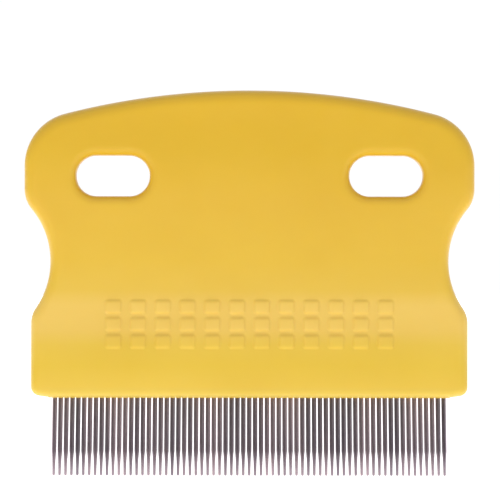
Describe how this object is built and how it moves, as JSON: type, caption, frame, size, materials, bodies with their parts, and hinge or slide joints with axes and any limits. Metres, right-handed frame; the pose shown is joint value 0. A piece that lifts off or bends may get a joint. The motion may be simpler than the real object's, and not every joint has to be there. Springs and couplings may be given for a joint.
{
  "type": "flea comb",
  "caption": "Palm-held comb: a waisted moulded handle with hanging slots and raised finger pads, and a close row of straight tapered steel pins that lifts fleas out of a pet's coat.",
  "frame": {"origin": "middle of the row of pin tips, where the comb meets the coat", "axes": "+X along the row of pins, to the right as the front is seen; +Y through the thickness, from the front to the back; +Z from the pin tips up to the crown of the handle"},
  "size_m": [0.065, 0.0086, 0.0557],
  "materials": {
    "handle_plastic": "satin moulded plastic, lightly textured",
    "strip_plastic": "satin moulded plastic",
    "pin_steel": "drawn stainless wire with ground tips"
  },
  "bodies": {
    "root": {"handle": "handle_plastic", "pin_strip": "strip_plastic", "pins_01": "pin_steel", "pins_02": "pin_steel", "pins_03": "pin_steel", "pins_04": "pin_steel", "pins_05": "pin_steel", "pins_06": "pin_steel", "pins_07": "pin_steel", "pins_08": "pin_steel", "pins_09": "pin_steel", "pins_10": "pin_steel", "pins_11": "pin_steel", "pins_12": "pin_steel", "pins_13": "pin_steel", "pins_14": "pin_steel", "pins_15": "pin_steel", "pins_16": "pin_steel", "pins_17": "pin_steel", "pins_18": "pin_steel", "pins_19": "pin_steel", "pins_20": "pin_steel", "pins_21": "pin_steel", "pins_22": "pin_steel", "pins_23": "pin_steel", "pins_24": "pin_steel", "pins_25": "pin_steel", "pins_26": "pin_steel", "pins_27": "pin_steel", "pins_28": "pin_steel", "pins_29": "pin_steel", "pins_30": "pin_steel", "pins_31": "pin_steel", "pins_32": "pin_steel", "pins_33": "pin_steel", "pins_34": "pin_steel"}
  },
  "joints": []
}
